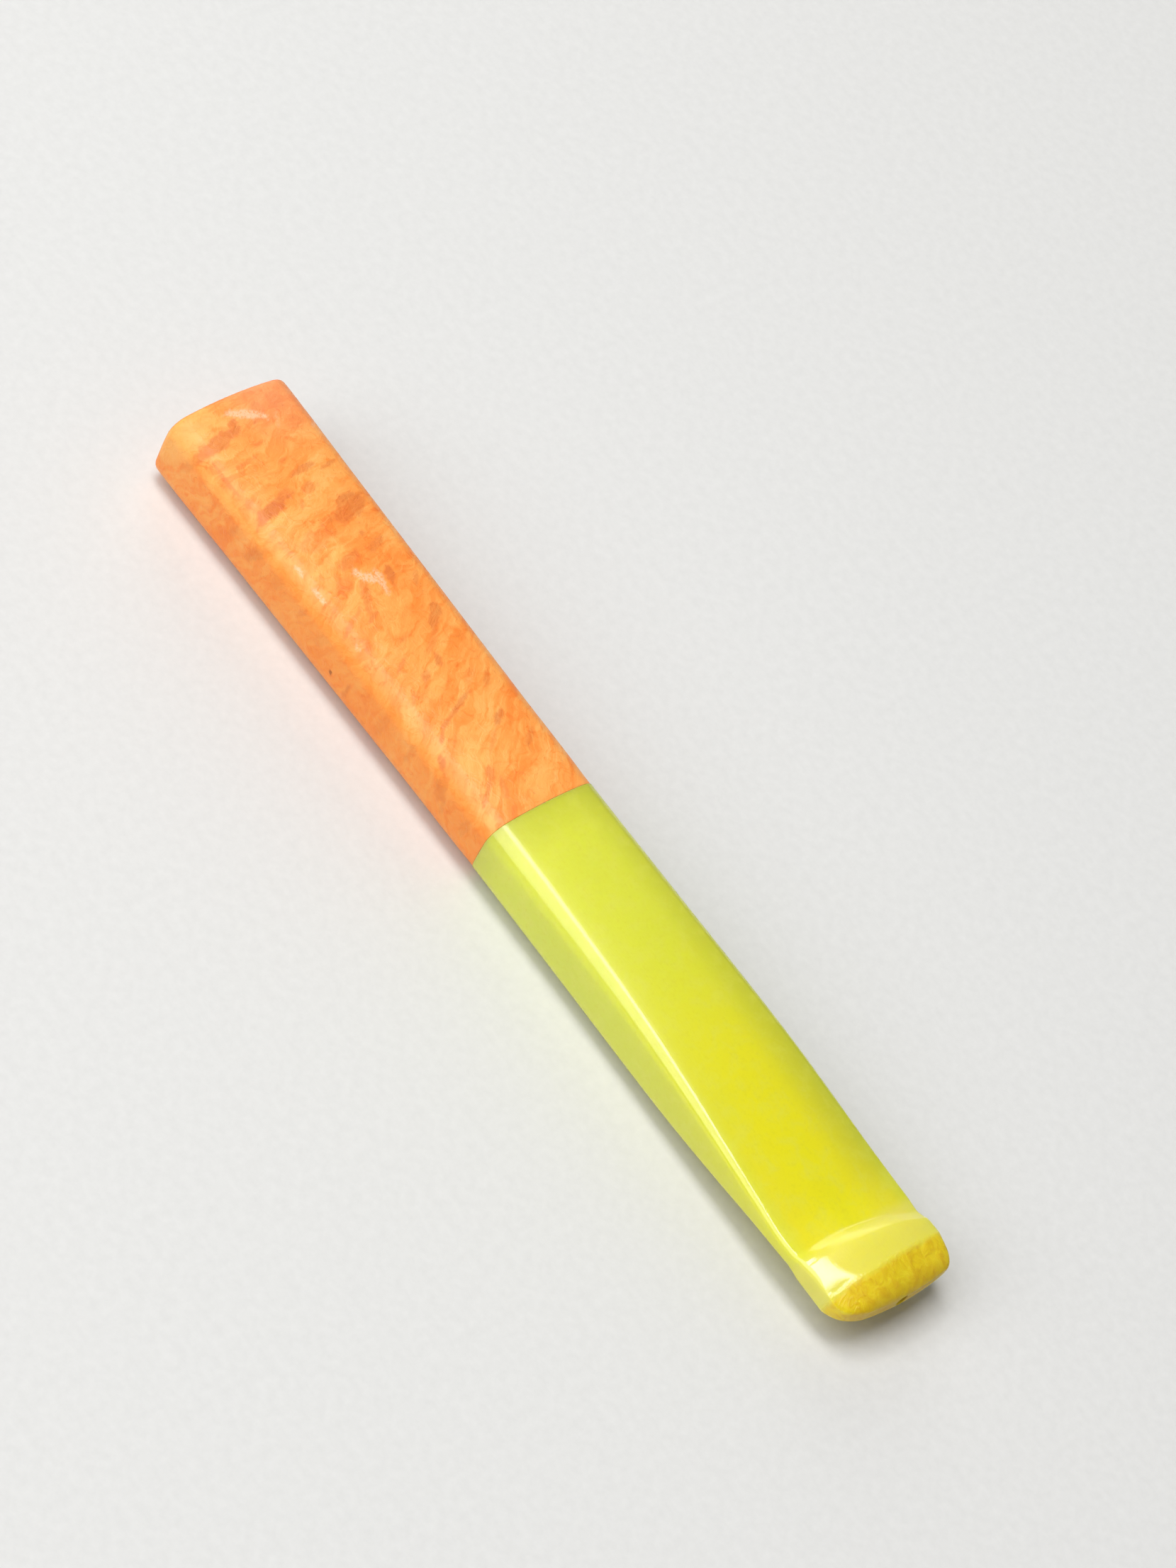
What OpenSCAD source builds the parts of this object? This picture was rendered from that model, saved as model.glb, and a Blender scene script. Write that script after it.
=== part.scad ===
// Flat cigarette holder: a briar-wood body with a round cigarette socket,
// a translucent resin mouthpiece with a lipped bit, and the loose metal
// tube (tenon) that joins the two. It lies flat, +X towards the bit, +Z up.
// Origin: centre of the bounding box in X and Y, resting plane at Z = 0.

/* [Overall] */
// Length of the wooden body
body_len = 53.7; // [50:0.1:58]
// Overall length from the socket face to the tip of the bit
total_len = 113; // [112:0.5:118]
// Width of the body at the socket end
socket_end_w = 15.2; // [14.6:0.1:16]
// Height of the body at the socket end
socket_end_h = 9.7; // [9.5:0.1:11]
// Width of the body at the joint
joint_w = 13.92; // [13.4:0.02:14.5]
// Height of the body at the joint
joint_h = 8.8; // [8.2:0.1:9.6]
// How far the mouthpiece stands proud of the wood all round
proud = 0.05; // [0:0.01:0.1]

/* [Mouthpiece shape] */
// Width just before the lip
bite_w = 15.04; // [14.4:0.02:15.2]
// Thickness just before the lip
bite_h = 3.36; // [3:0.02:4]
// Width of the lip
lip_w = 14.84; // [14:0.02:15]
// Thickness of the lip
lip_h = 5.48; // [5:0.02:6]
// Length of the lip and its bevelled nose together
lip_len = 8.7; // [8:0.1:9.5]
// Slant of the lip's front step, in mm of X per mm of Y
lip_slant = 0.16; // [0:0.01:0.2]

/* [Cross-section] */
// Corner radius of the wooden body
corner_r = 2.4; // [1.8:0.1:2.8]
// Corner radius just before the lip
bite_r = 0.6; // [0.4:0.05:0.8]
// Fall of the crowned faces from the middle to the side
crown = 0.9; // [0.5:0.05:1.1]
// Swell of the side faces
side_swell = 0.25; // [0.1:0.05:0.3]

/* [Cigarette socket] */
// Diameter of the round socket
socket_d = 7.9; // [7:0.1:8]
// Depth of the full-diameter socket
socket_depth = 18; // [14:0.5:22]
// Size of the rounded-over edge at the socket's mouth
socket_chamfer = 0.25; // [0.1:0.05:0.3]

/* [Tenon tube] */
// Outside diameter of the tube
tenon_d = 5.6; // [5:0.1:5.8]
// Inside diameter of the tube
tenon_bore_d = 3.2; // [2.6:0.1:3.6]
// Length of the tube inside the wooden body
tenon_in_body = 11.7; // [9:0.1:13]
// Length of the tube inside the mouthpiece
tenon_in_bit = 11.8; // [9:0.1:12]
// Radial running clearance in the wooden body
body_clear = 0.04; // [0.02:0.01:0.08]
// Radial running clearance in the mouthpiece
bit_clear = 0.03; // [0.02:0.01:0.08]

/* [Airway] */
// Diameter of the airway through the wood
airway_d = 3.2; // [2.4:0.1:3.6]
// Diameter of the airway where it leaves the tenon in the mouthpiece
bit_airway_d = 3; // [2.4:0.1:3.2]
// Diameter of the airway at the bit
exit_d = 1.5; // [1.2:0.1:1.6]

/* [Hidden] */
$fn = 96;
gap = 0.02;                         // hairline between the two end faces
zc = socket_end_h / 2;              // height of the axis above the resting plane
x0 = -total_len / 2;                // socket face
xj = x0 + body_len;                 // joint face of the wood
bit_len = total_len - body_len - gap;
xb = xj + gap;                      // joint face of the mouthpiece
xt = total_len / 2;                 // tip of the bit
lx = bit_len - lip_len;             // where the lip's front step starts, from xb
ja = joint_w / 2;
jb = joint_h / 2;

// points per quarter outline: crowned face, corner, side face
n_top = 6;
n_cor = 5;
n_sid = 3;

// Stations along the wood: [x, half width, half height, corner radius,
// crown, side swell, slant, bow, side shift]
function wood_rows() = [
    [0,        socket_end_w/2 - 0.36, zc - 0.35, corner_r - 0.3,  crown, side_swell, 0, 0, 0],
    [0.12,     socket_end_w/2 - 0.18, zc - 0.17, corner_r - 0.15, crown, side_swell, 0, 0, 0],
    [0.4,      socket_end_w/2 - 0.04, zc - 0.03, corner_r - 0.02, crown, side_swell, 0, 0, 0],
    [0.8,      socket_end_w/2,        zc,        corner_r,        crown, side_swell, 0, 0, 0],
    [body_len*0.25, mixv(socket_end_w/2, ja, 0.26), mixv(zc, jb, 0.24), corner_r, crown, side_swell, 0, 0, 0],
    [body_len*0.5,  mixv(socket_end_w/2, ja, 0.53), mixv(zc, jb, 0.49), corner_r, crown, side_swell, 0, 0, 0],
    [body_len*0.78, mixv(socket_end_w/2, ja, 0.84), mixv(zc, jb, 0.78), corner_r, crown, side_swell, 0, 0, 0],
    [body_len, ja, jb, corner_r, crown, side_swell, 0, 0, 0]];

// Stations along the mouthpiece, measured from its joint face
function bit_rows() = let (
        a0 = ja + proud, b0 = jb + proud - 0.01, aw = bite_w/2, bw = bite_h/2,
        al = lip_w/2, bl = lip_h/2, e = bit_len) [
    [0,             a0,               b0,               corner_r,                    crown, side_swell, 0, 0, 0],
    [lx*0.125,      a0 - 0.02,        b0 - 0.02,        mixv(corner_r, bite_r, 0.08), crown, side_swell, 0, 0, 0],
    [lx*0.265,      a0 - 0.02,        b0 - 0.09,        mixv(corner_r, bite_r, 0.22), crown, side_swell, 0, 0, 0],
    [lx*0.43,       mixv(a0, aw, 0.1),  mixv(b0, bw, 0.09), mixv(corner_r, bite_r, 0.39), crown, side_swell, 0, 0, 0],
    [lx*0.62,       mixv(a0, aw, 0.55), mixv(b0, bw, 0.27), mixv(corner_r, bite_r, 0.61), crown, side_swell, 0, 0, 0],
    [lx*0.758,      mixv(a0, aw, 0.8),  mixv(b0, bw, 0.53), mixv(corner_r, bite_r, 0.78), crown, side_swell, 0, 0, 0],
    [lx*0.887,      mixv(a0, aw, 0.94), mixv(b0, bw, 0.82), mixv(corner_r, bite_r, 0.92), crown - 0.05, 0.22, lip_slant*0.3, 0, 0],
    [lx*0.966,      aw + 0.04,        bw + 0.04,        bite_r,                      crown - 0.1, 0.2, lip_slant*0.75, 0.008, 0],
    [lx - 0.2,      aw,               bw,               bite_r,                      crown - 0.1, 0.2, lip_slant, 0.012, 0],
    [lx + 0.4,      aw - 0.04,        mixv(bw, bl, 0.05), bite_r + 0.02,             0.85, 0.2, lip_slant, 0.012, 0.01],
    [lx + 0.8,      mixv(aw, al, 0.4),  mixv(bw, bl, 0.28), bite_r + 0.04,           1.0,  0.2, lip_slant, 0.012, 0.03],
    [lx + 1.2,      al + 0.04,        mixv(bw, bl, 0.58), bite_r + 0.08,             1.2,  0.2, lip_slant*0.97, 0.012, 0.05],
    [lx + 1.65,     al + 0.06,        mixv(bw, bl, 0.82), bite_r + 0.12,             1.34, 0.2, lip_slant*0.9, 0.011, 0.07],
    [lx + 2.2,      al + 0.05,        mixv(bw, bl, 0.96), bite_r + 0.16,             1.36, 0.2, lip_slant*0.7, 0.008, 0.08],
    [e - 5.3,       al + 0.02,        bl,               bite_r + 0.2,                1.28, 0.2, lip_slant*0.3, 0.004, 0.1],
    [e - 3.5,       al - 0.04,        bl - 0.01,        bite_r + 0.25,               1.1,  0.2, 0, 0, 0.1],
    [e - 3.2,       al - 0.08,        bl - 0.12,        bite_r + 0.25,               1.05, 0.2, 0, 0, 0.11],
    [e - 2.4,       al - 0.2,         bl - 0.44,        bite_r + 0.2,                0.92, 0.2, 0.005, -0.002, 0.17],
    [e - 1.5,       al - 0.44,        bl - 0.82,        bite_r + 0.15,               0.75, 0.2, 0.01, -0.005, 0.3],
    [e - 0.7,       al - 0.9,         bl - 1.22,        bite_r + 0.05,               0.5, 0.15, 0.02, -0.010, 0.48],
    [e - 0.2,       al - 1.42,        bl - 1.6,         bite_r - 0.1,                0.28, 0.1, 0.03, -0.013, 0.6],
    [e,             al - 1.85,        bl - 1.88,        bite_r - 0.25,               0.15, 0.06, 0.03, -0.014, 0.7]];

function mixv(p, q, t) = p + (q - p)*t;

// Smooth, never overshooting, curve through a table of stations
function hslope(p, q, h1, h2) = p*q <= 0 ? 0 : (3*h1 + 3*h2)/((2*h2 + h1)/p + (h2 + 2*h1)/q);
function secant(T, k, c) = (T[k+1][c] - T[k][c])/(T[k+1][0] - T[k][0]);
function slope(T, k, c) = k == 0 ? secant(T, 0, c)
    : k == len(T) - 1 ? secant(T, k - 1, c)
    : hslope(secant(T, k - 1, c), secant(T, k, c), T[k][0] - T[k-1][0], T[k+1][0] - T[k][0]);
function hermite(T, k, c, u) = let (h = T[k+1][0] - T[k][0])
    (2*u*u*u - 3*u*u + 1)*T[k][c] + (u*u*u - 2*u*u + u)*h*slope(T, k, c)
    + (3*u*u - 2*u*u*u)*T[k+1][c] + (u*u*u - u*u)*h*slope(T, k + 1, c);
function refine(T, step) = concat(
    [for (k = [0:len(T)-2], i = [0:max(1, ceil((T[k+1][0] - T[k][0])/step)) - 1])
        let (n = max(1, ceil((T[k+1][0] - T[k][0])/step)), u = i/n)
        concat([mixv(T[k][0], T[k+1][0], u)], [for (c = [1:8]) hermite(T, k, c, u)])],
    [T[len(T)-1]]);

// Closed outline of a crowned, round-cornered oblong in Y and Z.
// The corner's centre is where the two inset face arcs cross.
function corner_centre(a, b, r, cr, sw) = let (
        Rt = (a*a + cr*cr)/(2*cr), Rs = (b*b + sw*sw)/(2*sw),
        c1 = [0, b - Rt], c2 = [a - Rs, 0], r1 = Rt - r, r2 = Rs - r,
        d = c2 - c1, D = norm(d), m = (r1*r1 - r2*r2 + D*D)/(2*D), h = sqrt(max(r1*r1 - m*m, 0)),
        p = c1 + d*m/D, s = [-d[1], d[0]]/D, q1 = p + s*h, q2 = p - s*h)
    q1[0] + q1[1] > q2[0] + q2[1] ? q1 : q2;
function quarter(a, b, r, cr, sw) = let (
        Rt = (a*a + cr*cr)/(2*cr), Rs = (b*b + sw*sw)/(2*sw),
        C = corner_centre(a, b, r, cr, sw),
        ts = atan2(C[1], C[0] - (a - Rs)), tt = atan2(C[1] - (b - Rt), C[0]))
    concat(
        [for (i = [0:n_sid]) [a - Rs + Rs*cos(ts*i/n_sid), Rs*sin(ts*i/n_sid)]],
        [for (i = [1:n_cor]) let (t = mixv(ts, tt, i/n_cor)) C + r*[cos(t), sin(t)]],
        [for (i = [1:n_top]) let (t = mixv(tt, 90, i/n_top)) [Rt*cos(t), b - Rt + Rt*sin(t)]]);
function outline(a, b, r, cr, sw) = let (q = quarter(a, b, r, cr, sw), n = len(q) - 1) concat(
        [for (i = [0:n]) q[i]],
        [for (i = [n-1:-1:0]) [-q[i][0], q[i][1]]],
        [for (i = [1:n]) [-q[i][0], -q[i][1]]],
        [for (i = [n-1:-1:1]) [q[i][0], -q[i][1]]]);

// One ring of the skin: a station's outline set at its place along X
function ring(S, xs) = [for (p = outline(S[1], S[2], S[3], S[4], S[5]))
    [xs + S[0] + S[6]*p[0] + S[7]*p[0]*p[0], p[0] + S[8], zc + p[1]]];

// Skin through a table of stations, closed by a flat fan at each end
module skin(T, xs) {
    n = 4*(n_top + n_cor + n_sid);
    m = len(T);
    pts = [for (S = T) each ring(S, xs)];
    mid = [[xs + T[0][0], T[0][8], zc], [xs + T[m-1][0], T[m-1][8], zc]];
    polyhedron(
        points = concat(pts, mid),
        faces = concat(
            [for (k = [0:m-2], i = [0:n-1]) let (j = (i+1) % n) [k*n + i, (k+1)*n + i, (k+1)*n + j]],
            [for (k = [0:m-2], i = [0:n-1]) let (j = (i+1) % n) [k*n + i, (k+1)*n + j, k*n + j]],
            [for (i = [0:n-1]) [m*n, i, (i+1) % n]],
            [for (i = [0:n-1]) [m*n + 1, (m-1)*n + (i+1) % n, (m-1)*n + i]]),
        convexity = 6);
}

// A round hole or rod along X: straight, or tapered when r2 is given
module rod(x, len, r1, r2 = -1) {
    translate([x, 0, zc]) rotate([0, 90, 0])
        cylinder(r1 = r1, r2 = r2 < 0 ? r1 : r2, h = len);
}

// Briar-wood body: crowned oblong with a cigarette socket at one end,
// a mortise for the tube at the other, and an airway between them
module wooden_body() {
    sr = socket_d/2;
    color([0.86, 0.47, 0.20]) difference() {
        skin(refine(wood_rows(), 7), x0);
        rod(x0 - 1, socket_depth + 1, sr);
        rod(x0 - 0.01, socket_chamfer + 0.01, sr + socket_chamfer, sr);
        rod(x0 + socket_depth - 0.001, 1.4, sr, airway_d/2);
        rod(x0 + socket_depth, body_len - socket_depth, airway_d/2);
        rod(xj - tenon_in_body - 0.2, tenon_in_body + 1.2, tenon_d/2 + body_clear);
    }
}

// Resin mouthpiece: full section at the joint, thinning and spreading to
// the bite, then a lip with a slanted step and a bevelled nose
module mouthpiece() {
    tr = tenon_d/2 + bit_clear;
    color([0.80, 0.82, 0.16]) difference() {
        skin(refine(bit_rows(), 3), xb);
        rod(xb - 1, tenon_in_bit + 1.2, tr);
        rod(xb + tenon_in_bit, 20, bit_airway_d/2);
        rod(xb + tenon_in_bit + 19.999, 14, bit_airway_d/2, exit_d/2);
        rod(xb + tenon_in_bit + 33, 20, exit_d/2);
        rod(xt - 0.12, 0.3, exit_d/2, exit_d/2 + 0.2);
    }
}

// Aluminium tube with chamfered ends, half in the wood, half in the resin
module tenon_tube() {
    ro = tenon_d/2;
    ri = tenon_bore_d/2;
    L = tenon_in_body + tenon_in_bit;
    ch = 0.3;
    color([0.80, 0.81, 0.83])
        translate([xj - tenon_in_body, 0, zc]) rotate([0, 90, 0])
            rotate_extrude()
                polygon([[ri, 0], [ro - ch, 0], [ro, ch], [ro, L - ch], [ro - ch, L], [ri, L]]);
}

wooden_body();
mouthpiece();
tenon_tube();
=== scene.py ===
# Flat wooden cigarette holder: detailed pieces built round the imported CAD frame.
# All lengths in the tables are millimetres and become metres when a mesh is made.
import bpy
import math
import numpy as np
from mathutils import Vector, Matrix, noise


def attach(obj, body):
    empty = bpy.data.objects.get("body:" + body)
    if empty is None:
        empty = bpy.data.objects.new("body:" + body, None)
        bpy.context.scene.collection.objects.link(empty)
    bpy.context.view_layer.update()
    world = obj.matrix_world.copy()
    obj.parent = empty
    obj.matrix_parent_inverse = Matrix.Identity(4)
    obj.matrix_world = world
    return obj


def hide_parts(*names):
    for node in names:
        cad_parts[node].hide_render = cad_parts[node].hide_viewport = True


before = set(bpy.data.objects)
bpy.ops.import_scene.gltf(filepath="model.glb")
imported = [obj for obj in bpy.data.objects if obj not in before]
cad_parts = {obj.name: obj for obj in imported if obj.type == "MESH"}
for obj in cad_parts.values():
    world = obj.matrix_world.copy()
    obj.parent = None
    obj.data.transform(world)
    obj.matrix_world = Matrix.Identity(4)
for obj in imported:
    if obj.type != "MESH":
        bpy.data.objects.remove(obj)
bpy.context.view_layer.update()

scene = bpy.context.scene
MM = 0.001

# ---------------------------------------------------------------- dimensions
# the same driving dimensions as the CAD source
TOTAL, BODY = 113.0, 53.7
ZC = 4.85                      # height of the axis
X0 = -TOTAL / 2                # socket face
XJ = X0 + BODY                 # joint face of the wood
GAP = 0.02
XB = XJ + GAP
E = TOTAL - BODY - GAP         # length of the mouthpiece
SOCKET_R, SOCKET_DEPTH = 3.95, 18.0
TUBE_R, TUBE_BORE_R = 2.8, 1.6
AIR_R = 1.6


def mix(p, q, t):
    return p + (q - p) * t


# stations: x, half width, half height, corner radius, crown, side swell, slant, bow, side shift
def wood_rows():
    a0, b0, a1, b1, r, c, s = 7.6, 4.85, 6.96, 4.4, 2.4, 0.9, 0.25
    return [
        (0.00, a0 - 0.36, b0 - 0.35, r - 0.30, c, s, 0, 0, 0),
        (0.04, a0 - 0.27, b0 - 0.26, r - 0.22, c, s, 0, 0, 0),
        (0.12, a0 - 0.17, b0 - 0.16, r - 0.14, c, s, 0, 0, 0),
        (0.25, a0 - 0.08, b0 - 0.07, r - 0.06, c, s, 0, 0, 0),
        (0.45, a0 - 0.02, b0 - 0.02, r - 0.02, c, s, 0, 0, 0),
        (0.80, a0, b0, r, c, s, 0, 0, 0),
        (13.4, mix(a0, a1, 0.26), mix(b0, b1, 0.24), r, c, s, 0, 0, 0),
        (26.8, mix(a0, a1, 0.53), mix(b0, b1, 0.49), r, c, s, 0, 0, 0),
        (41.9, mix(a0, a1, 0.84), mix(b0, b1, 0.78), r, c, s, 0, 0, 0),
        (BODY - 0.05, a1, b1, r, c, s, 0, 0, 0),
        (BODY - 0.015, a1 - 0.012, b1 - 0.012, r - 0.01, c, s, 0, 0, 0),
        (BODY, a1 - 0.045, b1 - 0.045, r - 0.03, c, s, 0, 0, 0),
    ]


def bit_rows():
    a0, b0, aw, bw, al, bl, R, Q, L = 7.01, 4.44, 7.52, 1.68, 7.42, 2.74, 2.4, 0.6, 50.58
    return [
        (0.0, a0 - 0.04, b0 - 0.04, R - 0.03, 0.9, 0.25, 0, 0, 0),
        (0.015, a0 - 0.01, b0 - 0.01, R - 0.01, 0.9, 0.25, 0, 0, 0),
        (0.05, a0, b0, R, 0.9, 0.25, 0, 0, 0),
        (L * 0.125, a0 - 0.02, b0 - 0.02, mix(R, Q, 0.08), 0.9, 0.25, 0, 0, 0),
        (L * 0.265, a0 - 0.02, b0 - 0.09, mix(R, Q, 0.22), 0.9, 0.25, 0, 0, 0),
        (L * 0.43, mix(a0, aw, 0.1), mix(b0, bw, 0.09), mix(R, Q, 0.39), 0.9, 0.25, 0, 0, 0),
        (L * 0.62, mix(a0, aw, 0.55), mix(b0, bw, 0.27), mix(R, Q, 0.61), 0.9, 0.25, 0, 0, 0),
        (L * 0.758, mix(a0, aw, 0.8), mix(b0, bw, 0.53), mix(R, Q, 0.78), 0.9, 0.25, 0, 0, 0),
        (L * 0.887, mix(a0, aw, 0.94), mix(b0, bw, 0.82), mix(R, Q, 0.92), 0.85, 0.22, 0.048, 0, 0),
        (L * 0.966, aw + 0.04, bw + 0.04, Q, 0.8, 0.2, 0.12, 0.008, 0),
        (L - 0.2, aw, bw, Q, 0.8, 0.2, 0.16, 0.012, 0),
        (L + 0.4, aw - 0.04, mix(bw, bl, 0.05), Q + 0.02, 0.85, 0.2, 0.16, 0.012, 0.01),
        (L + 0.8, mix(aw, al, 0.4), mix(bw, bl, 0.28), Q + 0.04, 1.0, 0.2, 0.16, 0.012, 0.03),
        (L + 1.2, al + 0.04, mix(bw, bl, 0.58), Q + 0.08, 1.2, 0.2, 0.155, 0.012, 0.05),
        (L + 1.65, al + 0.06, mix(bw, bl, 0.82), Q + 0.12, 1.34, 0.2, 0.144, 0.011, 0.07),
        (L + 2.2, al + 0.05, mix(bw, bl, 0.96), Q + 0.16, 1.36, 0.2, 0.112, 0.008, 0.08),
        (E - 5.3, al + 0.02, bl, Q + 0.2, 1.28, 0.2, 0.048, 0.004, 0.1),
        (E - 3.5, al - 0.04, bl - 0.01, Q + 0.25, 1.1, 0.2, 0, 0, 0.1),
        (E - 3.2, al - 0.08, bl - 0.12, Q + 0.25, 1.05, 0.2, 0, 0, 0.11),
        (E - 2.4, al - 0.2, bl - 0.44, Q + 0.2, 0.92, 0.2, 0.005, -0.002, 0.17),
        (E - 1.5, al - 0.44, bl - 0.82, Q + 0.15, 0.75, 0.2, 0.01, -0.005, 0.3),
        (E - 0.7, al - 0.9, bl - 1.22, Q + 0.05, 0.5, 0.15, 0.02, -0.010, 0.48),
        (E - 0.2, al - 1.42, bl - 1.6, Q - 0.1, 0.28, 0.1, 0.03, -0.013, 0.6),
        (E, al - 1.85, bl - 1.88, Q - 0.25, 0.15, 0.06, 0.03, -0.014, 0.7),
    ]


# ---------------------------------------------------------------- lofting
def refine(rows, step):
    """Smooth, never overshooting, curve through the stations, one row about every step mm."""
    T = np.array(rows, float)
    x = T[:, 0]
    h = np.diff(x)
    d = np.diff(T, axis=0) / h[:, None]
    m = np.zeros_like(T)
    for k in range(1, len(T) - 1):
        p, q, h1, h2 = d[k - 1], d[k], h[k - 1], h[k]
        same = p * q > 0
        with np.errstate(divide="ignore", invalid="ignore"):
            v = (3 * h1 + 3 * h2) / ((2 * h2 + h1) / p + (h2 + 2 * h1) / q)
        m[k] = np.where(same, v, 0)
    m[0], m[-1] = d[0], d[-1]
    out = []
    for k in range(len(T) - 1):
        n = max(1, int(math.ceil(h[k] / step)))
        for i in range(n):
            u = i / n
            row = ((2 * u**3 - 3 * u**2 + 1) * T[k] + (u**3 - 2 * u**2 + u) * h[k] * m[k]
                   + (3 * u**2 - 2 * u**3) * T[k + 1] + (u**3 - u**2) * h[k] * m[k + 1])
            row[0] = x[k] + u * h[k]
            out.append(row)
    out.append(T[-1])
    return np.array(out)


NT, NC, NS = 20, 14, 10         # points per quarter outline: crowned face, corner, side face
NQ = NT + NC + NS
N = 4 * NQ


def outline(a, b, r, cr, sw):
    """Closed outline of a crowned, round-cornered oblong, from (a, 0) round through (0, b)."""
    Rt = (a * a + cr * cr) / (2 * cr)
    Rs = (b * b + sw * sw) / (2 * sw)
    c1, c2 = np.array([0, b - Rt]), np.array([a - Rs, 0])
    r1, r2 = Rt - r, Rs - r
    d = c2 - c1
    D = np.linalg.norm(d)
    m = (r1 * r1 - r2 * r2 + D * D) / (2 * D)
    hh = math.sqrt(max(r1 * r1 - m * m, 0))
    p = c1 + d * m / D
    s = np.array([-d[1], d[0]]) / D
    C = max((p + s * hh, p - s * hh), key=lambda q: q[0] + q[1])
    ts = math.atan2(C[1], C[0] - c2[0])
    tt = math.atan2(C[1] - c1[1], C[0])
    u = np.linspace(0, 1, NS + 1)
    side = np.column_stack([c2[0] + Rs * np.cos(ts * u), Rs * np.sin(ts * u)])
    u = ts + (tt - ts) * np.linspace(0, 1, NC + 1)[1:]
    cor = np.column_stack([C[0] + r * np.cos(u), C[1] + r * np.sin(u)])
    u = tt + (math.pi / 2 - tt) * np.linspace(0, 1, NT + 1)[1:]
    top = np.column_stack([Rt * np.cos(u), b - Rt + Rt * np.sin(u)])
    q = np.vstack([side, cor, top])
    half = np.vstack([q, q[::-1][1:] * [-1, 1]])
    return np.vstack([half, half[::-1][1:-1] * [1, -1]])


def skin(rows, xs, step):
    out = []
    for x, a, b, r, cr, sw, sl, bow, sh in refine(rows, step):
        P = outline(a, b, r, cr, sw)
        out.append(np.column_stack([xs + x + sl * P[:, 0] + bow * P[:, 0] ** 2, P[:, 0] + sh, P[:, 1]]))
    return out


def circle(x, r, like):
    """A round ring whose points sit at the same angles as the outline `like`."""
    phi = np.arctan2(like[:, 2], like[:, 1])
    return np.column_stack([np.full(len(like), x), r * np.cos(phi), r * np.sin(phi)])


def between(a, b, n):
    """n rings between two rings, both ends left out."""
    return [a + (b - a) * (i / (n + 1)) for i in range(1, n + 1)]


def fbm(p, scale, octaves=4, seed=0.0):
    v, amp, tot = 0.0, 1.0, 0.0
    q = Vector((p[0] * scale + seed, p[1] * scale - seed, p[2] * scale + 2 * seed))
    for _ in range(octaves):
        v += amp * noise.noise(q)
        tot += amp
        q = q * 2.03
        amp *= 0.5
    return v / tot


def ring_mesh(name, rings, body, closed=True):
    """A closed mesh from rings joined in order, the last back to the first."""
    n = len(rings[0])
    m = len(rings)
    co = np.vstack(rings)
    co = co + [0, 0, ZC]
    i = np.arange(m)[:, None]
    j = np.arange(n)[None, :]
    i2, j2 = (i + 1) % m, (j + 1) % n
    quads = np.stack([i * n + j, i * n + j2, i2 * n + j2, i2 * n + j], -1).reshape(-1, 4)
    me = bpy.data.meshes.new(name)
    me.from_pydata((co * MM).tolist(), [], quads.tolist())
    me.update()
    ob = bpy.data.objects.new(name, me)
    scene.collection.objects.link(ob)
    import bmesh
    bm = bmesh.new()
    bm.from_mesh(me)
    bmesh.ops.recalc_face_normals(bm, faces=bm.faces)
    if bm.calc_volume(signed=True) < 0:
        bmesh.ops.reverse_faces(bm, faces=bm.faces)
    bm.to_mesh(me)
    bm.free()
    me.shade_smooth()
    me.set_sharp_from_angle(angle=math.radians(38))
    return ob


def attribute(ob, name, values):
    at = ob.data.attributes.new(name, "FLOAT", "POINT")
    at.data.foreach_set("value", np.asarray(values, np.float32))


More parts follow.
